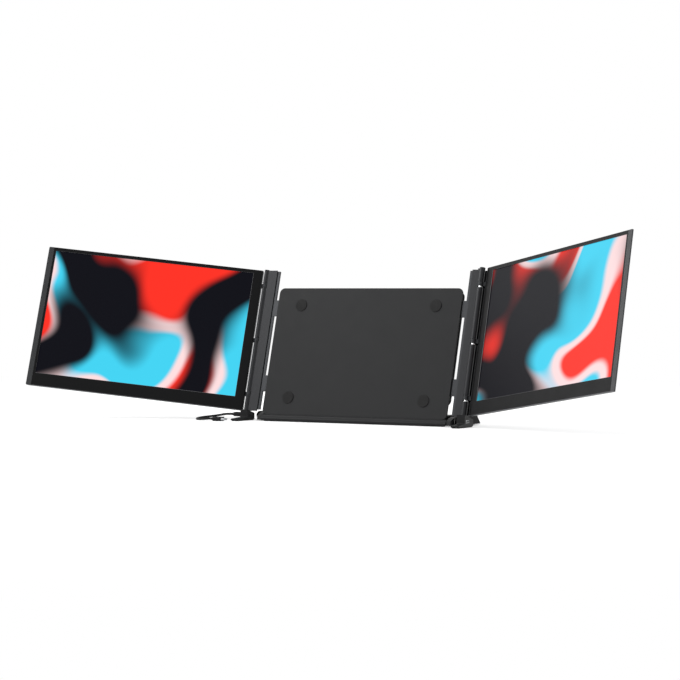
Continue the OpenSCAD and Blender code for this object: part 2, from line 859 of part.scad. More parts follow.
// A plug that points along +x, with its tip's end at the origin.
module plug(grip_color) {
    color(grip_color) {
        difference() {
            box([-tip_l, -tip_w / 2, -tip_h / 2], [0, tip_w / 2, tip_h / 2]);
            box([-tip_l + 0.6, -tip_w / 2 + tip_wall, -tip_h / 2 + tip_wall],
                [1, tip_w / 2 - tip_wall, tip_h / 2 - tip_wall]);
        }
        difference() {
            box([-tip_l - grip_l, -grip_w / 2, -grip_h / 2], [-tip_l, grip_w / 2, grip_h / 2]);
            for (y = [-1, 1], z = [-1, 1]) {
                translate([-tip_l - grip_l - 1, y * grip_w / 2, z * grip_h / 2])
                    rotate([45, 0, 0]) cube([grip_l + 2, 1.6, 1.6]);
            }
        }
        translate([-tip_l - grip_l - relief_l, 0, 0]) rotate([0, 90, 0])
            cylinder(r = relief_r, h = relief_l, $fn = small_fn);
    }
}

module cord_plug_port() {
    translate([port_plug_x + tip_l, left_port_y, port_z]) plug("#1b1b1c");
}

module cord_plug_host() {
    translate([host_plug_x, host_plug_y, host_plug_z]) plug("#1b1b1c");
}

// A tube swept along the route, with one ring of points at each route point.
function unit(v) = v / norm(v);
function route_dir(p, i) =
    unit(p[min(i + 1, len(p) - 1)] - p[max(i - 1, 0)]);
function ring(c, d, r) =
    let (a = unit(cross(d, [0, 0, 1])), b = cross(a, d))
    [for (k = [0 : cord_sides - 1])
        c + r * (cos(360 * k / cord_sides) * a + sin(360 * k / cord_sides) * b)];

module cord() {
    n = len(cord_route);
    dirs = [
        for (i = [0 : n - 1])
            i == 0 ? [-1, 0, 0] : i == n - 1 ? [1, 0, 0] : route_dir(cord_route, i)
    ];
    points = [for (i = [0 : n - 1]) each ring(cord_route[i], dirs[i], cord_d / 2)];
    walls = [
        for (i = [0 : n - 2], k = [0 : cord_sides - 1])
            let (a = i * cord_sides + k, b = i * cord_sides + (k + 1) % cord_sides)
            [a, b, b + cord_sides, a + cord_sides]
    ];
    first = [for (k = [cord_sides - 1 : -1 : 0]) k];
    last = [for (k = [0 : cord_sides - 1]) (n - 1) * cord_sides + k];
    color("#141414") polyhedron(points, concat([first], walls, [last]));
}

centre_plate();
rear_cover();
guide_bars(tongue_high_z);  // guide_bars_upper
guide_bars(tongue_low_z);  // guide_bars_lower
lid_pads(frame_z0 + frame_h - pad_inset);  // lid_pads_upper
lid_pads(frame_z0 + pad_inset);  // lid_pads_lower
base_bar();
base_foot();
cover_screws();
stand_bracket(LEFT);  // stand_bracket_left
stand_bracket(RIGHT);  // stand_bracket_right
stand_pins();
stand_washers();
arm_plate(LEFT);  // left_arm_plate
rail(LEFT);  // left_rail
hinge_shaft(LEFT);  // left_hinge_shaft
rail_cap(LEFT);  // left_rail_cap
rail_screws(LEFT);  // left_rail_screws
port_block(LEFT);  // left_port_block
port_socket(LEFT);  // left_port_socket
port_board(LEFT);  // left_port_board
block_foot(LEFT);  // left_block_foot
arm_plate(RIGHT);  // right_arm_plate
rail(RIGHT);  // right_rail
hinge_shaft(RIGHT);  // right_hinge_shaft
rail_cap(RIGHT);  // right_rail_cap
rail_screws(RIGHT);  // right_rail_screws
port_block(RIGHT);  // right_port_block
port_socket(RIGHT);  // right_port_socket
port_board(RIGHT);  // right_port_board
block_foot(RIGHT);  // right_block_foot
back_shell(LEFT);  // left_back_shell
front_bezel(LEFT);  // left_front_bezel
outer_strip(LEFT);  // left_outer_strip
display(LEFT);  // left_display
backlight(LEFT);  // left_backlight
driver_board(LEFT);  // left_driver_board
hinge_knuckles(LEFT);  // left_hinge_knuckles
shell_screws(LEFT);  // left_shell_screws
button(LEFT, power_button_x);  // left_power_button
button(LEFT, menu_button_x);  // left_menu_button
back_shell(RIGHT);  // right_back_shell
front_bezel(RIGHT);  // right_front_bezel
outer_strip(RIGHT);  // right_outer_strip
display(RIGHT);  // right_display
backlight(RIGHT);  // right_backlight
driver_board(RIGHT);  // right_driver_board
hinge_knuckles(RIGHT);  // right_hinge_knuckles
shell_screws(RIGHT);  // right_shell_screws
button(RIGHT, power_button_x);  // right_power_button
button(RIGHT, menu_button_x);  // right_menu_button
stand_cheek(LEFT);  // stand_cheek_left
stand_cheek(RIGHT);  // stand_cheek_right
stand_deck();
stand_heel();
stand_foot();
cord_plug_port();
cord();
cord_plug_host();
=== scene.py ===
import json
import math

import bmesh
import bpy
import numpy as np
from mathutils import Matrix, Vector


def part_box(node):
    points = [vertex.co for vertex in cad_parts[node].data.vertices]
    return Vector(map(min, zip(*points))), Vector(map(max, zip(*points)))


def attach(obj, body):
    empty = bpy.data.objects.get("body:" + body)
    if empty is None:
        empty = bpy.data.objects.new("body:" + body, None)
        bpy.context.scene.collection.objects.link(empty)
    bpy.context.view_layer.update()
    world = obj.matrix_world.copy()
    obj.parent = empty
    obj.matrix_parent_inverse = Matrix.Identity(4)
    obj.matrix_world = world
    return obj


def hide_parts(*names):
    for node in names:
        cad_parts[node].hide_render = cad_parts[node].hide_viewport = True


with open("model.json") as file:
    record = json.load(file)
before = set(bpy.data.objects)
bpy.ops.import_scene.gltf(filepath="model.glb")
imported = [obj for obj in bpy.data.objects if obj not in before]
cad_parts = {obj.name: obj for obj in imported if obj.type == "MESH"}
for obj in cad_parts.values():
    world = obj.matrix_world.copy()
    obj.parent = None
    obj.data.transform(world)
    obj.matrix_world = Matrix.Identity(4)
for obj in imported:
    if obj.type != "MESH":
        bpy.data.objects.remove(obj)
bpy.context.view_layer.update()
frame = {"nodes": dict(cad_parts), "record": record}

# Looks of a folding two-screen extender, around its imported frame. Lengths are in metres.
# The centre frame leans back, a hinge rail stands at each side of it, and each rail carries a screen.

MM = 0.001
SIDES = ("left", "right")
BODY_OF = {part: body for body, parts in frame["record"]["behaviour"]["bodies"].items() for part in parts}
SLOT_OF = {part["node"]: part["material_slot"] for part in frame["record"]["subparts"]}

# ---- Camera ----
CAMERA_PLACE = (1.5395, -2.7918, 0.1737)
CAMERA_TILT = 89.02
CAMERA_ROLL = -0.17
CAMERA_TURN = 29.20
CAMERA_LENS = 118.645
CAMERA_SENSOR = 36.0
CAMERA_SEES_TO = 100

# ---- Light: soft from all round, the floor, and lamps of (name, place, size, power) ----
SOFT_LIGHT = 0.62
FLOOR_SIZE = 24.0
FLOOR_NEAR = 0.75
FLOOR_FAR = 1.9
FLOOR_LIFT = 0.24
FLOOR_SHADE = 0.82
LAMP_AIM = (0, 0, 0.12)
LAMPS = [
    ("key_lamp", (-1.9, -1.9, 2.0), (1.6, 1.2), 44),
    ("top_lamp", (0.2, 0.6, 2.6), (2.2, 1.4), 34),
    ("side_lamp", (2.6, -0.6, 1.2), (0.5, 1.8), 8),
    ("left_lamp", (-2.6, -0.3, 1.1), (1.0, 1.4), 22),
]

# ---- Centre frame ----
LEAN = math.radians(16)

# ---- Finishes: most of a noise lies between these two ----
NOISE_LOW = 0.3
NOISE_HIGH = 0.7

# ---- Edges ----
MERGE_DISTANCE = 2e-6
FLAT_WITHIN = math.radians(0.5)
ROUND_FROM = math.radians(30)
ROUND_STEPS = 2
BIG_FACE_WEIGHT = 60

# ---- Cord: its route from the back of one plug to the back of the other ----
CORD_RADIUS = 1.6 * MM
CORD_ROUTE = [
    (-0.2032, 0.0036, 0.0084),
    (-0.2082, 0.0036, 0.0084),
    (-0.2140, 0.0035, 0.0081),
    (-0.2200, 0.0032, 0.0072),
    (-0.2260, 0.0026, 0.0061),
    (-0.2320, 0.0014, 0.0052),
    (-0.2375, -0.0008, 0.0044),
    (-0.2425, -0.0042, 0.0037),
    (-0.2463, -0.0087, 0.0031),
    (-0.2485, -0.0140, 0.0025),
    (-0.2488, -0.0198, 0.0020),
    (-0.2468, -0.0252, 0.0017),
    (-0.2432, -0.0298, 0.0017),
    (-0.2385, -0.0334, 0.0017),
    (-0.2328, -0.0362, 0.0019),
    (-0.2265, -0.0384, 0.0023),
    (-0.2215, -0.0395, 0.0027),
    (-0.2170, -0.0400, 0.0031),
    (-0.2120, -0.0400, 0.0031),
]

# ---- Plugs, from the tip's end backwards ----
TIP_LENGTH = 6.0 * MM
TIP_SIZE = (8.2 * MM, 2.4 * MM)
TIP_WALL = 0.35 * MM
GRIP_LENGTH = 14.5 * MM
GRIP_SIZE = (11.5 * MM, 6.2 * MM)
GRIP_CORNER = 2.3 * MM
RELIEF_LENGTH = 4.5 * MM
RELIEF_RADIUS = 2.2 * MM
RELIEF_END_RADIUS = 1.85 * MM
RELIEF_GROOVE = 0.16 * MM
RELIEF_STEPS = 12
GRIP_BACK_EDGE = 1.0 * MM
GRIP_FRONT_EDGE = 0.7 * MM
GRIP_GROOVE = 0.22 * MM
GRIP_GROOVES = (3.2 * MM, 9.2 * MM)
GRIP_STEPS = 25
GROOVE_EVERY = 4
TIP_EDGE = 0.12 * MM
TIP_EDGE_LENGTH = 0.3 * MM
TIP_FLOOR = 0.6 * MM


# ======== Camera, floor and light ========

def set_camera():
    """A camera at CAMERA_PLACE. Its tilt, roll and turn are in degrees, its lens and sensor in mm."""
    data = bpy.data.cameras.new("camera")
    data.lens = CAMERA_LENS
    data.sensor_width = CAMERA_SENSOR
    data.clip_end = CAMERA_SEES_TO
    camera = bpy.data.objects.new("camera", data)
    camera.location = CAMERA_PLACE
    camera.rotation_euler = [math.radians(a) for a in (CAMERA_TILT, CAMERA_ROLL, CAMERA_TURN)]
    bpy.context.scene.collection.objects.link(camera)
    bpy.context.scene.camera = camera


def add_node(tree, kind, inputs=None, **settings):
    """A shader node of that kind. An input is a value, or another node's output, which is linked."""
    made = tree.nodes.new("ShaderNode" + kind)
    for name, value in settings.items():
        setattr(made, name, value)
    for socket, value in (inputs or {}).items():
        if isinstance(value, bpy.types.NodeSocket):
            tree.links.new(value, made.inputs[socket])
        else:
            made.inputs[socket].default_value = value
    return made


def seen_directly(tree):
    """1 for rays from the camera and in mirrors and glass, and 0 for the light that falls on things."""
    rays = add_node(tree, "LightPath")
    both = add_node(tree, "Math", {0: rays.outputs["Is Camera Ray"], 1: rays.outputs["Is Glossy Ray"]},
                    operation="ADD", use_clamp=True)
    return add_node(tree, "Math", {0: both.outputs[0], 1: rays.outputs["Is Transmission Ray"]},
                    operation="ADD", use_clamp=True).outputs[0]


def set_world():
    """White all round, which lights the object softly and is seen at full white."""
    world = bpy.data.worlds.new("soft_white")
    world.use_nodes = True
    tree = world.node_tree
    tree.nodes.clear()
    reach = {"Value": seen_directly(tree), "To Min": SOFT_LIGHT, "To Max": 1.0}
    strength = add_node(tree, "MapRange", reach)
    light = add_node(tree, "Background", {"Color": (1, 1, 1, 1), "Strength": strength.outputs[0]})
    end = add_node(tree, "OutputWorld")
    tree.links.new(light.outputs[0], end.inputs["Surface"])
    bpy.context.scene.world = world


def set_floor():
    """A white floor. Near the object it takes shadows, and further out it fades to plain white."""
    mesh = bpy.data.meshes.new("floor")
    half = FLOOR_SIZE / 2
    corners = [(-half, -half, 0), (half, -half, 0), (half, half, 0), (-half, half, 0)]
    mesh.from_pydata(corners, [], [(0, 1, 2, 3)])
    floor = bpy.data.objects.new("floor", mesh)
    bpy.context.scene.collection.objects.link(floor)
    material = bpy.data.materials.new("floor_white")
    material.use_nodes = True
    tree = material.node_tree
    tree.nodes.clear()
    spot = add_node(tree, "TexCoord").outputs["Object"]
    distance = add_node(tree, "VectorMath", {0: spot}, operation="LENGTH").outputs["Value"]
    away = add_node(tree, "MapRange", {"Value": distance, "From Min": FLOOR_NEAR, "From Max": FLOOR_FAR},
                    interpolation_type="SMOOTHSTEP").outputs[0]
    seen = seen_directly(tree)
    white = add_node(tree, "Math", {0: away, 1: seen}, operation="MULTIPLY").outputs[0]
    lifted = add_node(tree, "Math", {0: seen, 1: FLOOR_LIFT}, operation="MULTIPLY").outputs[0]
    matt = add_node(tree, "BsdfDiffuse", {"Color": (FLOOR_SHADE, FLOOR_SHADE, FLOOR_SHADE, 1)})
    glow = add_node(tree, "Emission", {"Color": (1, 1, 1, 1), "Strength": lifted})
    plain = add_node(tree, "Emission", {"Color": (1, 1, 1, 1), "Strength": 1.0})
    both = add_node(tree, "AddShader", {0: matt.outputs[0], 1: glow.outputs[0]})
    mixed = add_node(tree, "MixShader", {0: white, 1: both.outputs[0], 2: plain.outputs[0]})
    end = add_node(tree, "OutputMaterial")
    tree.links.new(mixed.outputs[0], end.inputs["Surface"])
    mesh.materials.append(material)


def set_lamps():
    """Oblong lamps, each turned towards LAMP_AIM."""
    for name, place, size, power in LAMPS:
        data = bpy.data.lights.new(name, "AREA")
        data.shape = "RECTANGLE"
        data.size, data.size_y = size
        data.energy = power
        lamp = bpy.data.objects.new(name, data)
        lamp.location = place
        lamp.rotation_euler = (Vector(LAMP_AIM) - Vector(place)).to_track_quat("-Z", "Y").to_euler()
        bpy.context.scene.collection.objects.link(lamp)


# ======== Finishes ========

def object_spot(tree, turn=(0, 0, 0), size=(1, 1, 1), place=(0, 0, 0)):
    """Places on the piece, measured along axes that are turned by turn, in units of size."""
    spot = add_node(tree, "TexCoord").outputs["Object"]
    return add_node(tree, "Mapping", {"Vector": spot, "Location": place, "Rotation": turn, "Scale": size},
                    vector_type="TEXTURE").outputs[0]


def noise(tree, spot, scale=1.0, detail=2.0, roughness=0.5):
    """Smooth noise from 0 to 1 at a place, with scale bumps to each unit of that place."""
    return add_node(tree, "TexNoise", {"Vector": spot, "Scale": scale, "Detail": detail,
                                       "Roughness": roughness})


def ramp(tree, value, stops, interpolation="LINEAR"):
    """A colour for each value, from stops of (value, (red, green, blue))."""
    made = add_node(tree, "ValToRGB", {"Fac": value})
    made.color_ramp.interpolation = interpolation
    marks = made.color_ramp.elements
    while len(marks) < len(stops):
        marks.new(0.5)
    for mark, (where, colour) in zip(marks, stops):
        mark.position = where
        mark.color = (*colour, 1)
    return made.outputs["Color"]


def spread(tree, value, low, high):
    """A noise value, spread to between low and high."""
    return add_node(tree, "MapRange", {"Value": value, "From Min": NOISE_LOW, "From Max": NOISE_HIGH,
                                       "To Min": low, "To Max": high}).outputs[0]


def new_finish(name, **settings):
    """A material and its shader. Each setting is one of the shader's own sockets, such as metallic."""
    material = bpy.data.materials.new(name)
    material.use_nodes = True
    tree = material.node_tree
    tree.nodes.clear()
    shader = add_node(tree, "BsdfPrincipled")
    for socket, value in settings.items():
        shader.inputs[socket.replace("_", " ").title().replace("Ior", "IOR")].default_value = value
    end = add_node(tree, "OutputMaterial")
    tree.links.new(shader.outputs[0], end.inputs["Surface"])
    return material, tree, shader


def coat_surface(tree, shader, colour, mottle, rough, grain, depth, clouds=0.02):
    """Colour, roughness and bump. Slow clouds mottle the colour, and the grain makes the bump.
    mottle is the colour's share of change, rough is (low, high), and depth is the bump's height."""
    cloud = noise(tree, object_spot(tree), 1 / clouds, 3).outputs["Fac"]
    dark = tuple(c * (1 - mottle) for c in colour)
    light = tuple(min(1, c * (1 + mottle)) for c in colour)
    shade = ramp(tree, cloud, [(NOISE_LOW, dark), (NOISE_HIGH, light)])
    tree.links.new(shade, shader.inputs["Base Color"])
    mixed = add_node(tree, "Math", {0: cloud, 1: grain}, operation="ADD").outputs[0]
    halved = add_node(tree, "Math", {0: mixed, 1: 0.5}, operation="MULTIPLY").outputs[0]
    tree.links.new(spread(tree, halved, *rough), shader.inputs["Roughness"])
    bump = add_node(tree, "Bump", {"Height": grain, "Strength": 1.0, "Distance": depth})
    tree.links.new(bump.outputs[0], shader.inputs["Normal"])


def powder_coat(name, colour, edge_wear_and_highlight=False, specular=0.2):
    """Baked powder: a fine orange peel. The kind for edges is smoother and a little paler, as slight wear.
    """
    material, tree, shader = new_finish(name, specular_ior_level=specular)
    peel = noise(tree, object_spot(tree), 1 / (0.9 * MM), 2, 0.6).outputs["Fac"]
    tone = tuple(c * (1.25 if edge_wear_and_highlight else 1) for c in colour)
    coat_surface(tree, shader, tone, 0.03, (0.36, 0.42) if edge_wear_and_highlight else (0.48, 0.54), peel, 0.035 * MM)
    return material


def drawn_metal(name, colour, rough=(0.30, 0.42), metallic=0.75, edge_wear_and_highlight=False):
    """Anodised bar with fine lines along the lean, as it left the die. Worn edges are paler."""
    material, tree, shader = new_finish(name, metallic=metallic, specular_ior_level=0.25)
    along = object_spot(tree, turn=(-LEAN, 0, 0), size=(0.25 * MM, 0.25 * MM, 45 * MM))
    lines = noise(tree, along, 1.0, 3, 0.6).outputs["Fac"]
    tone = tuple(c * (1.3 if edge_wear_and_highlight else 1) for c in colour)
    coat_surface(tree, shader, tone, 0.04, rough, lines, 0.012 * MM)
    return material


def blasted_metal(name, colour, metallic=0.6, edge_wear_and_highlight=False):
    """Bead-blasted and anodised: an even, very fine grain."""
    material, tree, shader = new_finish(name, metallic=metallic, specular_ior_level=0.25)
    grain = noise(tree, object_spot(tree), 1 / (0.28 * MM), 2, 0.7).outputs["Fac"]
    tone = tuple(c * (1.3 if edge_wear_and_highlight else 1) for c in colour)
    coat_surface(tree, shader, tone, 0.03, (0.32, 0.42) if edge_wear_and_highlight else (0.42, 0.52), grain, 0.016 * MM)
    return material


def moulded(name, colour, grain_size=0.35 * MM, rough=(0.42, 0.56), specular=0.3):
    """Spark-textured moulding: rounded pits, close together."""
    material, tree, shader = new_finish(name, specular_ior_level=specular)
    pits = add_node(tree, "TexVoronoi", {"Vector": object_spot(tree), "Scale": 1 / grain_size},
                    feature="SMOOTH_F1").outputs["Distance"]
    coat_surface(tree, shader, colour, 0.03, rough, pits, 0.018 * MM)
    return material


def rubber(name, colour, rough=(0.62, 0.82), specular=0.2):
    """Matt rubber with a soft, uneven skin."""
    material, tree, shader = new_finish(name, specular_ior_level=specular)
    grain = noise(tree, object_spot(tree), 1 / (0.6 * MM), 4, 0.7).outputs["Fac"]
    coat_surface(tree, shader, colour, 0.05, rough, grain, 0.05 * MM)
    return material


def steel(name, colour, rough=(0.16, 0.30)):
    """Turned or plated steel: bright, with a trace of tool marks."""
    material, tree, shader = new_finish(name, metallic=1.0)
    marks = noise(tree, object_spot(tree, size=(1, 1, 0.12)), 1 / (1.1 * MM), 3, 0.6).outputs["Fac"]
    coat_surface(tree, shader, colour, 0.10, rough, marks, 0.008 * MM, clouds=0.006)
    return material


def satin_steel(name, colour):
    """Plate brushed across the frame."""
    material, tree, shader = new_finish(name, metallic=0.9)
    along = object_spot(tree, size=(30 * MM, 0.2 * MM, 0.2 * MM))
    lines = noise(tree, along, 1.0, 3, 0.6).outputs["Fac"]
    coat_surface(tree, shader, colour, 0.06, (0.32, 0.46), lines, 0.010 * MM)
    return material


def solder_mask(name, colour):
    """A green board with its tracks showing faintly under the mask."""
    material, tree, shader = new_finish(name, specular_ior_level=0.5)
    tracks = add_node(tree, "TexVoronoi", {"Vector": object_spot(tree), "Scale": 1 / (1.8 * MM)},
                      feature="F1", distance="MANHATTAN").outputs["Distance"]
    coat_surface(tree, shader, colour, 0.25, (0.22, 0.34), tracks, 0.03 * MM, clouds=0.004)
    return material


FINISHES = {
    "frame_black": lambda n, edge_wear_and_highlight: powder_coat(n, (0.0075, 0.0078, 0.0085), edge_wear_and_highlight),
    # The stand is darker than the frame: its own black paint, darkened further as painted shade of the
    # hollow under it.
    "stand_black": lambda n, edge_wear_and_highlight: powder_coat(n, (0.0022, 0.0022, 0.0024), edge_wear_and_highlight, 0.08),
    # The arm plate is near black: a dark plated finish, darkened further as painted shade of the gap beside
    # the hinge barrel.
    "arm_metal": lambda n, edge_wear_and_highlight: satin_steel(n, (0.030, 0.031, 0.033)),
    "rubber_black": lambda n, edge_wear_and_highlight: rubber(n, (0.012, 0.012, 0.012)),
    "steel": lambda n, edge_wear_and_highlight: steel(n, (0.62, 0.625, 0.63)),
    "washer_white": lambda n, edge_wear_and_highlight: moulded(n, (0.70, 0.70, 0.67), 0.8 * MM, (0.30, 0.42), 0.5),
    "rail_metal": lambda n, edge_wear_and_highlight: drawn_metal(n, (0.017, 0.0175, 0.019), (0.36, 0.44), 0.45, edge_wear_and_highlight),
    "block_metal": lambda n, edge_wear_and_highlight: blasted_metal(n, (0.0065, 0.0067, 0.0072), 0.2, edge_wear_and_highlight),
    "port_metal": lambda n, edge_wear_and_highlight: steel(n, (0.45, 0.46, 0.47), (0.24, 0.36)),
    "board_green": lambda n, edge_wear_and_highlight: solder_mask(n, (0.012, 0.085, 0.040)),
    "shell_grey": lambda n, edge_wear_and_highlight: blasted_metal(n, (0.11, 0.113, 0.119), edge_wear_and_highlight=edge_wear_and_highlight),
    # The bezel's rounded edges are pale metal: a painted highlight along the screen's lit rim.
    "bezel_black": lambda n, edge_wear_and_highlight: (
        blasted_metal(n, (0.10, 0.10, 0.104), 0.5) if edge_wear_and_highlight
        else moulded(n, (0.0030, 0.0031, 0.0034), rough=(0.46, 0.54), specular=0.10)),
    "strip_grey": lambda n, edge_wear_and_highlight: blasted_metal(n, (0.027, 0.028, 0.0295), 0.1, edge_wear_and_highlight),
    "backlight_white": lambda n, edge_wear_and_highlight: moulded(n, (0.80, 0.80, 0.78), 0.5 * MM, (0.5, 0.6), 0.4),
    "knuckle_metal": lambda n, edge_wear_and_highlight: blasted_metal(n, (0.026, 0.027, 0.029), 0.6, edge_wear_and_highlight),
    "button_black": lambda n, edge_wear_and_highlight: moulded(n, (0.016, 0.016, 0.017), 0.25 * MM),
    "cord_black": lambda n, edge_wear_and_highlight: rubber(n, (0.0035, 0.0035, 0.0038), (0.40, 0.55), 0.12),
    "plug_black": lambda n, edge_wear_and_highlight: moulded(n, (0.0045, 0.0045, 0.005), 0.3 * MM, (0.40, 0.52), 0.16),
}
made_finishes = {}


def finish(slot, edge_wear_and_highlight=False):
    """The material of a slot, made once. The edge one goes on rounded edges: slight wear, and on the bezel
    a painted highlight.
    """
    key = slot + ("_edge" if edge_wear_and_highlight else "")
    if key not in made_finishes:
        made_finishes[key] = FINISHES[slot](key, edge_wear_and_highlight)
    return made_finishes[key]


# ======== Lit pictures ========

# ---- The lit pictures: colours, and noises that are counted in bumps to a panel's width ----
# INK is what its dark places give off, and PANEL_BLACK is the glass's own colour.
INK = (0.0015, 0.0017, 0.005)
RED = (1.0, 0.030, 0.016)
BLUSH = (1.0, 0.74, 0.75)
AQUA = (0.055, 0.66, 0.90)
PANEL_BLACK = (0.0015, 0.0015, 0.0017)
PICTURE_SEEDS = {"left": 9.1, "right": 33.4}
BEND_BUMPS = 2.0
BEND_REACH = 0.95
HUE_BUMPS = 2.3
HUE_STOPS = [(0.42, RED), (0.50, BLUSH), (0.54, BLUSH), (0.61, AQUA)]
LIT_BUMPS = 2.0
LIT_AWAY = 5.3
DARK_BELOW = 0.38
LIT_ABOVE = 0.50
GLASS_GRAIN = 0.15 * MM
GLASS_DEPTH = 0.002 * MM


def panel_axes(node):
    """The lower corner nearest -X of a flat upright panel's front, its turn and its width.
    Across is the panel's longest direction, up its next, and the third points out of its front."""
    mesh = frame["nodes"][node].data
    points = np.empty(len(mesh.vertices) * 3)
    mesh.vertices.foreach_get("co", points)
    points = points.reshape(-1, 3)
    middle = points.mean(axis=0)
    across, up, _ = np.linalg.svd(points - middle, full_matrices=False)[2]
    across *= np.sign(across[0])
    up *= np.sign(up[2])
    out = np.cross(across, up)
    corner = sum(axis * (points @ axis).min() for axis in (across, up)) + out * (points @ out).max()
    turn = Matrix(np.column_stack([across, up, out]).tolist()).to_euler()
    return corner, tuple(turn), float(np.ptp(points @ across))


def lit_picture(side):
    """Soft shapes of four colours that flow into each other. One slow noise turns red over blush to
    aqua, another one shows that colour or leaves the panel dark, and both are bent by a third."""
    node = side + "_display"
    corner, turn, width = panel_axes(node)
    material, tree, shader = new_finish(side + "_picture", specular_ior_level=0.05, roughness=0.40)
    shader.inputs["Base Color"].default_value = (*PANEL_BLACK, 1)
    spot = object_spot(tree, turn, (width, width, width), tuple(corner))
    flat = add_node(tree, "VectorMath", {0: spot, 1: (1, 1, 0)}, operation="MULTIPLY").outputs[0]
    layer = (0, 0, PICTURE_SEEDS[side])
    moved = add_node(tree, "VectorMath", {0: flat, 1: layer}, operation="ADD").outputs[0]
    bend = noise(tree, moved, BEND_BUMPS, 0.6, 0.4).outputs["Color"]
    centred = add_node(tree, "VectorMath", {0: bend, 1: (0.5, 0.5, 0.5)}, operation="SUBTRACT").outputs[0]
    pushed = add_node(tree, "VectorMath", {0: centred, 1: (BEND_REACH, BEND_REACH, 0), 2: moved},
                      operation="MULTIPLY_ADD").outputs[0]
    warm = noise(tree, pushed, HUE_BUMPS, 0.0).outputs["Fac"]
    hue = ramp(tree, warm, HUE_STOPS, "EASE")
    elsewhere = add_node(tree, "VectorMath", {0: pushed, 1: (0, 0, LIT_AWAY)}, operation="ADD").outputs[0]
    lit = noise(tree, elsewhere, LIT_BUMPS, 0.0).outputs["Fac"]
    share = add_node(tree, "MapRange", {"Value": lit, "From Min": DARK_BELOW, "From Max": LIT_ABOVE},
                     interpolation_type="SMOOTHSTEP").outputs[0]
    colour = add_node(tree, "MixRGB", {"Fac": share, "Color1": (*INK, 1), "Color2": hue}).outputs[0]
    tree.links.new(colour, shader.inputs["Emission Color"])
    shader.inputs["Emission Strength"].default_value = 1.0
    fine = noise(tree, object_spot(tree), 1 / GLASS_GRAIN, 1).outputs["Fac"]
    bump = add_node(tree, "Bump", {"Height": fine, "Distance": GLASS_DEPTH})
    tree.links.new(bump.outputs[0], shader.inputs["Normal"])
    frame["nodes"][node].data.materials.clear()
    frame["nodes"][node].data.materials.append(material)


# ======== Pieces ========

def place_piece(name, mesh, node):
    """Links a mesh as a piece that stands for a node: in the same body, with the node hidden."""
    piece = bpy.data.objects.new(name, mesh)
    bpy.context.scene.collection.objects.link(piece)
    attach(piece, BODY_OF[node])
    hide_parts(node)
    return piece


def rounded_copy(node, radius):
    """A copy of a node with rounded edges. Its loose triangles are merged, those in one plane are
    joined to one face, and each edge sharper than ROUND_FROM gets a round of that radius."""
    shape = bmesh.new()
    shape.from_mesh(frame["nodes"][node].data)
    bmesh.ops.remove_doubles(shape, verts=shape.verts, dist=MERGE_DISTANCE)
    bmesh.ops.dissolve_degenerate(shape, edges=shape.edges, dist=MERGE_DISTANCE / 2)
    bmesh.ops.dissolve_limit(shape, angle_limit=FLAT_WITHIN, verts=shape.verts, edges=shape.edges)
    for face in shape.faces:
        face.smooth = True
    mesh = bpy.data.meshes.new(node + "_finished")
    shape.to_mesh(mesh)
    shape.free()
    mesh.materials.clear()
    slot = SLOT_OF[node]
    mesh.materials.append(finish(slot))
    # The second material, on the rounds, is the paler edge finish: slight wear, and on the bezel a painted
    # highlight.
    mesh.materials.append(finish(slot, edge_wear_and_highlight=True))
    mesh.polygons.foreach_set("material_index", np.zeros(len(mesh.polygons), dtype=np.int32))
    piece = place_piece(node + "_finished", mesh, node)
    edges = piece.modifiers.new("rounded_edges", "BEVEL")
    edges.width = radius
    edges.segments = ROUND_STEPS
    edges.limit_method = "ANGLE"
    edges.angle_limit = ROUND_FROM
    edges.material = 1
    edges.harden_normals = False
    even = piece.modifiers.new("even_shading", "WEIGHTED_NORMAL")
    even.keep_sharp = False
    even.weight = BIG_FACE_WEIGHT
    return piece


def paint_node(node):
    """Keeps a node's own shape and gives it its finish."""
    mesh = frame["nodes"][node].data
    mesh.materials.clear()
    mesh.materials.append(finish(SLOT_OF[node]))


def loft(name, rings, ring_material=None):
    """A closed skin over rings of points, an array of (rings, points, 3). Point j of ring i joins
    point j + 1 and ring i + 1, and a fan round the middle of each end ring closes it.
    ring_material gives the material's index between each ring and the next."""
    count, around, _ = rings.shape
    points = np.concatenate([rings.reshape(-1, 3), rings[:1].mean(axis=1), rings[-1:].mean(axis=1)])
    i, j = np.meshgrid(np.arange(count - 1), np.arange(around), indexing="ij")
    here, there = i * around + j, i * around + (j + 1) % around
    walls = np.stack([here, there, there + around, here + around], axis=-1).reshape(-1, 4)
    turn = np.arange(around)
    following = (turn + 1) % around
    first = np.stack([following, turn, np.full(around, count * around)], axis=-1)
    last_ring = (count - 1) * around
    last = np.stack([turn + last_ring, following + last_ring, np.full(around, count * around + 1)], axis=-1)
    mesh = bpy.data.meshes.new(name)
    mesh.from_pydata(points.tolist(), [], walls.tolist() + first.tolist() + last.tolist())
    mesh.polygons.foreach_set("use_smooth", np.ones(len(mesh.polygons), dtype=bool))
    if ring_material is not None:
        shares = np.concatenate([np.repeat(ring_material, around), np.repeat(ring_material[:1], around),
                                 np.repeat(ring_material[-1:], around)])
        mesh.polygons.foreach_set("material_index", shares.astype(np.int32))
    return mesh


def smooth_route(points, steps=8):
    """A smooth line through the points. Between two points it is a cubic, whose slope at each point
    is half the way from the point before to the point after."""
    points = np.array(points)
    slopes = np.gradient(points, axis=0)
    slopes[0] = points[1] - points[0]
    slopes[-1] = points[-1] - points[-2]
    t = np.linspace(0, 1, steps, endpoint=False)[:, None]
    pieces = [
        (2 * t**3 - 3 * t**2 + 1) * a + (t**3 - 2 * t**2 + t) * da
        + (3 * t**2 - 2 * t**3) * b + (t**3 - t**2) * db
        for a, b, da, db in zip(points[:-1], points[1:], slopes[:-1], slopes[1:])
    ]
    return np.concatenate([*pieces, points[-1:]])


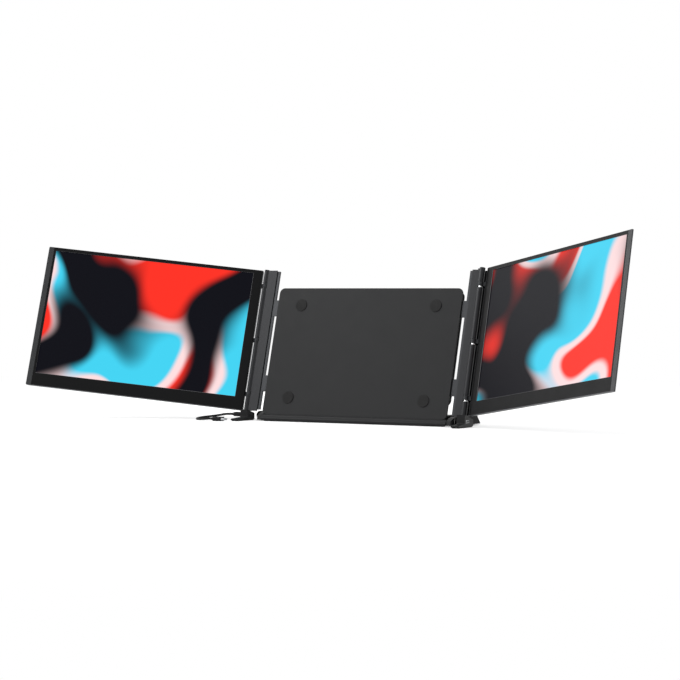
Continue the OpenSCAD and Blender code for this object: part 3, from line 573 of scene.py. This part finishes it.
def round_tube(name, route, radius, around=20):
    """A round skin along a route: circles square to the route, with their first point kept level."""
    ahead = np.gradient(route, axis=0)
    ahead /= np.linalg.norm(ahead, axis=1, keepdims=True)
    level = np.cross((0, 0, 1), ahead)
    level /= np.linalg.norm(level, axis=1, keepdims=True)
    above = np.cross(ahead, level)
    angle = np.arange(around) * 2 * math.pi / around
    rings = route[:, None] + radius * (np.cos(angle)[None, :, None] * level[:, None]
                                       + np.sin(angle)[None, :, None] * above[:, None])
    return loft(name, rings)


def rounded_section(half_width, half_height, corner, around=40):
    """A rectangle with round corners: each corner's middle plus a quarter of a circle."""
    angle = (np.arange(around) + 0.5) * 2 * math.pi / around
    side, top = np.cos(angle), np.sin(angle)
    return np.stack([np.sign(side) * (half_width - corner) + side * corner,
                     np.sign(top) * (half_height - corner) + top * corner], axis=-1)


def plug_mesh(name, end):
    """A plug that points along +X with its tip's end at end. One skin runs from the back of the
    relief over the grip and the tip, and then back inside the hollow tip."""
    back = -(TIP_LENGTH + GRIP_LENGTH + RELIEF_LENGTH)
    grip_back = -(TIP_LENGTH + GRIP_LENGTH)
    rings, kinds = [], []

    def add(x, half_width, half_height, corner, kind):
        """A ring at x: a rounded rectangle of that half size, in material number kind."""
        section = rounded_section(half_width, half_height, min(corner, half_height * 0.999))
        rings.append(np.column_stack([np.full(len(section), x), section]))
        kinds.append(kind)

    for step in range(RELIEF_STEPS + 1):
        share = step / RELIEF_STEPS
        radius = RELIEF_END_RADIUS + (RELIEF_RADIUS - RELIEF_END_RADIUS) * share
        radius -= RELIEF_GROOVE * (step % GROOVE_EVERY == 2)
        add(back + RELIEF_LENGTH * share, radius, radius, radius, 0)
    half_w, half_h = GRIP_SIZE[0] / 2, GRIP_SIZE[1] / 2
    for share in np.linspace(0, 1, 5):
        inset = GRIP_BACK_EDGE * (1 - math.sin(share * math.pi / 2))
        x = grip_back + GRIP_BACK_EDGE * (1 - math.cos(share * math.pi / 2))
        add(x, half_w - inset, half_h - inset, GRIP_CORNER, 0)
    for step, along in enumerate(np.linspace(*GRIP_GROOVES, GRIP_STEPS)):
        dip = GRIP_GROOVE * (step % GROOVE_EVERY == 2)
        add(grip_back + along, half_w - dip, half_h - dip, GRIP_CORNER, 0)
    for share in np.linspace(1, 0, 4):
        inset = GRIP_FRONT_EDGE * (1 - math.sin(share * math.pi / 2))
        x = -TIP_LENGTH - GRIP_FRONT_EDGE * (1 - math.cos(share * math.pi / 2))
        add(x, half_w - inset, half_h - inset, GRIP_CORNER, 0)
    tip_w, tip_h = TIP_SIZE[0] / 2, TIP_SIZE[1] / 2
    add(-TIP_LENGTH, tip_w, tip_h, tip_h, 1)
    add(-TIP_EDGE_LENGTH, tip_w, tip_h, tip_h, 1)
    add(0, tip_w - TIP_EDGE, tip_h - TIP_EDGE, tip_h, 1)
    add(0, tip_w - TIP_WALL, tip_h - TIP_WALL, tip_h, 1)
    add(TIP_FLOOR - TIP_LENGTH, tip_w - TIP_WALL, tip_h - TIP_WALL, tip_h, 1)
    skin = np.array(rings) + np.array(end)
    return loft(name, skin, np.array(kinds[1:]))


def make_cord():
    """The cord and the plug at each of its ends. A plug's tip ends at its node's highest X."""
    for node in ("cord_plug_port", "cord_plug_host"):
        low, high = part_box(node)
        end = (high.x, (low.y + high.y) / 2, (low.z + high.z) / 2)
        mesh = plug_mesh(node + "_finished", end)
        mesh.materials.append(finish("plug_black"))
        mesh.materials.append(finish("port_metal"))
        place_piece(node + "_finished", mesh, node)
    route = smooth_route(CORD_ROUTE)
    mesh = round_tube("cord_finished", route, CORD_RADIUS)
    mesh.materials.append(finish("cord_black"))
    cord = place_piece("cord_finished", mesh, "cord")


# Each node that shows, and the radius of its edges.
EDGE_RADII = {
    "centre_plate": 0.5, "rear_cover": 0.4, "base_bar": 0.5, "base_foot": 0.3,
    "lid_pads_upper": 0.3, "lid_pads_lower": 0.3, "cover_screws": 0.15,
    "stand_bracket_left": 0.5, "stand_bracket_right": 0.5, "stand_pins": 0.4, "stand_washers": 0.2,
    "stand_cheek_left": 0.6, "stand_cheek_right": 0.6, "stand_deck": 0.4, "stand_heel": 0.6,
    "stand_foot": 0.3,
}
SIDE_EDGE_RADII = {
    "arm_plate": 0.3, "rail": 0.25, "hinge_shaft": 0.15, "rail_cap": 0.3, "rail_screws": 0.15,
    "port_block": 0.2, "port_socket": 0.1, "block_foot": 0.3, "back_shell": 0.35,
    "front_bezel": 0.4, "outer_strip": 0.22, "hinge_knuckles": 0.25, "shell_screws": 0.1,
    "power_button": 0.2, "menu_button": 0.2,
}
SIDE_PLAIN = ("backlight", "driver_board", "port_board")


def make_pieces():
    """Every node that shows, rounded or in its own shape, and the two lit pictures."""
    for node, radius in EDGE_RADII.items():
        rounded_copy(node, radius * MM)
    for side in SIDES:
        for part, radius in SIDE_EDGE_RADII.items():
            rounded_copy(f"{side}_{part}", radius * MM)
        for part in SIDE_PLAIN:
            paint_node(f"{side}_{part}")
        lit_picture(side)
    for node in ("guide_bars_upper", "guide_bars_lower"):
        paint_node(node)


set_camera()
make_cord()
set_world()
set_floor()
set_lamps()
make_pieces()
bpy.context.scene.view_settings.view_transform = "Standard"
